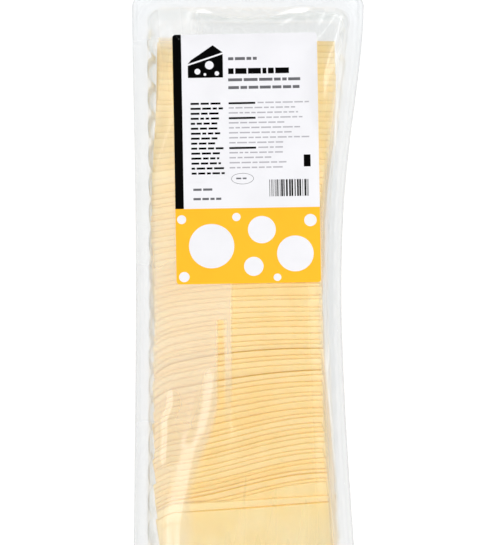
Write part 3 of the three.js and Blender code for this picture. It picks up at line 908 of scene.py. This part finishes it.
def rounded_sides(length, width, radius, count):
    """Heights along a rounded rectangle and its half width at each: the corners are quarter circles."""
    turn = np.linspace(0, np.pi / 2, 6)
    end = length / 2 - radius * (1 - np.sin(turn))
    half = width / 2 - radius * (1 - np.cos(turn))
    middle = np.linspace(-length / 2 + radius, length / 2 - radius, count)
    v = np.concatenate([-end[::-1], middle[1:-1], end])
    return v, np.concatenate([half[::-1], np.full(count - 2, width / 2), half])


def paper_finish(name, colour, roughness, sheen=0.1):
    """Paper or ink with a fine fibre: its colour clouds a little and its sheen is faint."""
    finish = Finish(name)
    fibre = finish.noise(900, 3)
    tinted = tuple(value * 0.965 for value in colour[:3]) + (1,)
    shade = finish.mix(finish.between(finish.noise(60, 3), 0.3, 0.8), colour, tinted)
    bump = finish.add("ShaderNodeBump", Strength=0.05, Distance=0.0002, Height=fibre)
    shader = finish.add(
        "ShaderNodeBsdfPrincipled",
        Base_Color=shade,
        Roughness=roughness,
        Specular_IOR_Level=sheen,
        Normal=bump.outputs["Normal"],
    )
    return finish.close(shader.outputs["BSDF"])


label_v, label_half = rounded_sides(LABEL_LENGTH, LABEL_WIDTH, LABEL_CORNER, 110)
label_u = np.linspace(-1, 1, 61)[None, :] * label_half[:, None]
label_x, label_y = from_label(label_u, np.broadcast_to(label_v[:, None], label_u.shape))
label_z = label_height(label_x, label_y)
label = add_piece(
    "label_paper",
    *closed_sheet(label_x, label_y, label_z, label_z + PAPER),
    paper_finish("Coated paper", PAPER_WHITE, 0.5),
    "label_paper",
    crease=40,
)
label.visible_shadow = False
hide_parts("label")


# %% Patches of print
INK_SUNK, PRINT_STEP = 0.03, 1.5
# Lines lie on the paper and panels one level higher, so that no two tops meet.
LINE_LEVEL, PANEL_LEVEL = 1, 2


def steps_over(length):
    """How many points a length needs."""
    return int(length / PRINT_STEP) + 2


def slab(level, u, v):
    """A closed slab of ink over a grid of label places: its top stands a number of levels up."""
    x, y = from_label(u, v)
    paper = label_height(x, y) + PAPER
    return closed_sheet(x, y, paper - INK_SUNK, paper + INK * level)


def box(left, bottom, right, top):
    """A rectangle as a grid, with short steps so that it bends with the paper."""
    u = np.linspace(left, right, steps_over(right - left))
    v = np.linspace(bottom, top, steps_over(top - bottom))
    return slab(LINE_LEVEL, *np.meshgrid(u, v))


def edge_panel(left, bottom, right, top):
    """A rectangle trimmed by the label's rounded outline, row by row of the paper's own grid."""
    kept = (label_v > bottom) & (label_v < top)
    v = np.concatenate([[bottom], label_v[kept], [top]])
    half = np.interp(v, label_v, label_half)
    share_over = np.linspace(0, 1, steps_over(right - left))[None, :]
    low, high = np.maximum(left, -half)[:, None], np.minimum(right, half)[:, None]
    u = low + (high - low) * share_over
    return slab(PANEL_LEVEL, u, np.broadcast_to(v[:, None], u.shape))


def disc(middle_u, middle_v, wide, high, level):
    """A square grid pressed round: u sqrt(1 - v^2 / 2) and v sqrt(1 - u^2 / 2), so it has no pole."""
    count = max(8, int(wide / 0.75))
    a, b = np.meshgrid(np.linspace(-1, 1, count), np.linspace(-1, 1, count))
    u = middle_u + wide * a * np.sqrt(1 - b**2 / 2)
    v = middle_v + high * b * np.sqrt(1 - a**2 / 2)
    return slab(level, u, v)


def four_sided(corners):
    """A blend of four corners given in turn: each edge point is its share of the way between two."""
    first, second, third, fourth = (np.array(corner, float) for corner in corners)
    a, b = np.meshgrid(np.linspace(0, 1, 14), np.linspace(0, 1, 14))
    a, b = a[..., None], b[..., None]
    place = (first * (1 - a) + second * a) * (1 - b) + (fourth * (1 - a) + third * a) * b
    return slab(LINE_LEVEL, place[..., 0], place[..., 1])


def oval_line(middle_u, middle_v, wide, high, line):
    """A thin oval ring: a small square cross-section carried round an ellipse."""
    turn = np.linspace(0, 2 * np.pi, 49)[:-1][:, None]
    inward = np.array([0, 0, line, line])[None, :]
    x, y = from_label(middle_u + (wide - inward) * np.cos(turn), middle_v + (high - inward) * np.sin(turn))
    z = label_height(x, y) + PAPER + np.array([-INK_SUNK, INK, INK, -INK_SUNK])[None, :]
    return np.stack([x, y, z], axis=-1).reshape(-1, 3), grid_faces(48, 4, True, True)


def joined(parts):
    """Several patches as one set of points and faces."""
    offsets = np.cumsum([0] + [len(points) for points, _ in parts[:-1]])
    faces = [face + offset for (_, face), offset in zip(parts, offsets)]
    return np.concatenate([points for points, _ in parts]), np.concatenate(faces)


# %% Lines of bars in place of words
SHORTEST_WORD, WORD_GAP, LEAST_ROOM = 2.0, 0.9, 1.2
# The panel's top, the side bar's right, and the text's left, first line and line pitch.
PANEL_TOP, BAR_RIGHT = -28.4, -36.6
TEXT_LEFT, TEXT_TOP, TEXT_PITCH = -9.9, 32.6, 2.87


def word_bars(left, top, width, height, seed, longest=6.0):
    """One line of words as bars: seeded lengths with gaps between them, until the line is full."""
    rng = np.random.default_rng(seed)
    bars, u = [], left
    while u < left + width - LEAST_ROOM:
        end = min(u + rng.uniform(SHORTEST_WORD, longest), left + width)
        bars.append(box(u, top - height, end, top))
        u = end + WORD_GAP
    return bars


black_print = [edge_panel(-LABEL_WIDTH / 2, PANEL_TOP, BAR_RIGHT, LABEL_LENGTH / 2)]
grey_print, pale_print = [], []
black_print += word_bars(-9.8, 52.2, 35.0, 3.3, 11, 11.0)
grey_print += word_bars(-9.7, 58.6, 16.5, 1.7, 12)
grey_print += word_bars(TEXT_LEFT, 46.4, 41.5, 1.7, 13, 9.0)
grey_print += word_bars(TEXT_LEFT, 41.9, 41.0, 1.7, 14, 7.0)
column_rng = np.random.default_rng(5)
for row in range(15):
    top = TEXT_TOP - TEXT_PITCH * row
    black_print += word_bars(-31.8, top, column_rng.uniform(15, 19.5), 1.15, 40 + row)
for row in range(14):
    width = column_rng.uniform(32, 48) if row < 9 else column_rng.uniform(22, 34)
    top = TEXT_TOP - TEXT_PITCH * row
    if row in (0, 3, 9):
        black_print.append(box(TEXT_LEFT, top - 1.15, 5.5, top))
        pale_print += word_bars(6.8, top, width - 16, 0.8, 70 + row)
    else:
        pale_print += word_bars(TEXT_LEFT, top, width, 0.8, 70 + row)
grey_print += word_bars(-31.0, -16.8, 13.0, 1.3, 15)
grey_print += word_bars(-31.0, -22.2, 16.0, 1.3, 16)

# %% The wedge, the oval, the stripes and the lower panel
black_print.append(four_sided([(-33.0, 47.0), (-12.8, 47.0), (-12.8, 60.5), (-33.0, 54.0)]))
black_print.append(four_sided([(-33.0, 55.0), (-12.8, 61.5), (-18.5, 65.6), (-31.0, 57.4)]))
WEDGE_HOLES = [(-27.5, 50.6, 1.7, 1.7), (-20.6, 54.2, 2.5, 2.4)]
WEDGE_HOLES += [(-16.3, 49.4, 1.3, 1.3), (-23.2, 48.9, 0.8, 0.8)]
white_print = [disc(*hole, PANEL_LEVEL) for hole in WEDGE_HOLES]
black_print.append(box(32.8, -5.1, 36.7, 1.8))
grey_print.append(oval_line(-2.6, -11.5, 6.5, 3.2, 0.25))
grey_print += word_bars(-6.2, -10.9, 7.4, 0.9, 17, 3.0)
stripe_rng = np.random.default_rng(21)
stripe = 12.8
while stripe < 35.8:
    wide = stripe_rng.choice([0.33, 0.33, 0.66, 0.99])
    black_print.append(box(stripe, -22.0, stripe + wide, -12.3))
    stripe += wide + stripe_rng.choice([0.33, 0.45, 0.8])
yellow_print = [edge_panel(-LABEL_WIDTH / 2, -LABEL_LENGTH / 2, LABEL_WIDTH / 2, PANEL_TOP)]
HOLES = [(-21, -50, 13.0), (8, -41, 8.0), (27, -55, 10.5), (3, -62, 5.6), (-38, -34.5, 2.6)]
HOLES += [(-6.5, -33.5, 2.4), (36, -36, 3.6), (-37, -67.5, 3.0), (16.5, -68.5, 2.2)]
white_print += [disc(u, v, size, size * 0.98, PANEL_LEVEL + 1) for u, v, size in HOLES]

PRINTS = {
    "print_black": (black_print, (0.002, 0.002, 0.002, 1), 0.8, 0.01),
    "print_grey": (grey_print, (0.13, 0.13, 0.14, 1), 0.5),
    "print_pale": (pale_print, (0.42, 0.41, 0.44, 1), 0.5),
    "print_yellow": (yellow_print, (0.98, 0.47, 0.022, 1), 0.5),
    "print_white": (white_print, PAPER_WHITE, 0.5),
}
for name, (parts, *ink) in PRINTS.items():
    print_piece = add_piece(name, *joined(parts), paper_finish(name, *ink), "label_paper", crease=40)
    print_piece.visible_shadow = False

# %% [markdown]
# ## Floor, lights and camera
# The pack is shown from straight above on a white table. A long soft box at the left gives the
# streaks where folds of the film slope towards it, and one at the rear lights the film behind the
# label. Weaker ones at the right, in front and overhead fill in. The last two are hidden from mirror
# reflections, which would veil the slices, and a grey surround keeps every shadow soft. The floor
# glows a little, as a lit table does, so that it stays white.


# %% The white floor
def floor_finish():
    """A matt grey that glows: together they come out white."""
    finish = Finish("White table")
    tone = finish.mix(finish.noise(3, 2), (0.34, 0.34, 0.34, 1), (0.36, 0.36, 0.36, 1))
    shader = finish.add(
        "ShaderNodeBsdfPrincipled",
        Base_Color=tone,
        Roughness=0.6,
        Emission_Color=(1, 1, 1, 1),
        Emission_Strength=0.735,
    )
    return finish.close(shader.outputs["BSDF"])


floor_mesh = bpy.data.meshes.new("table_top")
FLOOR_HALF, FLOOR_HEIGHT = 3.0, -0.0002
signs = [(-1, -1), (1, -1), (1, 1), (-1, 1)]
floor_corners = [(x * FLOOR_HALF, y * FLOOR_HALF, FLOOR_HEIGHT) for x, y in signs]
floor_mesh.from_pydata(floor_corners, [], [(0, 1, 2, 3)])
floor_mesh.materials.append(floor_finish())
new_object("table_top", floor_mesh)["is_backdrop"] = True


# %% Lights and surround
def soft_box(name, place, aim, wide, long, radiance):
    """An area light, long along the pack; its power is radiance times pi times its area. Its own y
    lies in the upright plane of its aim, so that is its width."""
    data = bpy.data.lights.new(name, "AREA")
    data.shape = "RECTANGLE"
    data.size, data.size_y = long, wide
    data.energy = radiance * math.pi * wide * long
    lamp = new_object(name, data)
    lamp.location = place
    lamp.rotation_euler = (Vector(aim) - Vector(place)).to_track_quat("-Z", "Y").to_euler()
    return lamp


# Place, aim, width and length in metres, radiance, and whether mirror reflections show the lamp.
LAMPS = {
    "left_core": ((-0.42, 0.03, 1.30), (0, 0.03, 0.04), 0.33, 1.2, 2.7, True),
    "right_fill": ((0.78, -0.10, 1.0), (0, 0.0, 0.04), 0.5, 1.2, 1.6, True),
    "rear_box": ((0.05, 0.82, 1.15), (0, 0.03, 0.04), 0.45, 0.5, 5.6, True),
    "front_fill": ((0.12, -0.80, 1.0), (0, -0.05, 0.04), 0.5, 0.8, 2.6, False),
    "overhead": ((0.0, 0.03, 1.60), (0, 0.03, 0.04), 0.7, 0.9, 3.1, False),
}
for name, (*settings, reflected) in LAMPS.items():
    soft_box(name, *settings).visible_glossy = reflected

world = bpy.data.worlds.new("Grey surround")
world.use_nodes = True
world.node_tree.nodes["Background"].inputs["Color"].default_value = (0.38, 0.38, 0.385, 1)
bpy.context.scene.world = world

# %% Camera
# The picture is 500 by 545, and at the film's height it is 286.2 mm wide, seen from 1.2 m above.
CAMERA_X, CAMERA_Y, CAMERA_Z = 1.15, 32.4, 1240.0
camera_data = bpy.data.cameras.new("camera")
camera_data.sensor_fit = "HORIZONTAL"
camera_data.sensor_width = 36.0
camera_data.lens = 150.7
camera_data.clip_start = 0.01
camera = new_object("camera", camera_data)
camera.location = (CAMERA_X * MM, CAMERA_Y * MM, CAMERA_Z * MM)
bpy.context.scene.camera = camera
bpy.context.scene.view_settings.view_transform = "Standard"

# %% Sizes, and the end
visual_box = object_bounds()
sizes = {
    "cad": [[float(value) for value in corner] for corner in cad_box],
    "visual": [[float(value) for value in corner] for corner in visual_box],
}
for name, corners in sizes.items():
    print(name, [[round(value * 1000, 2) for value in corner] for corner in corners])
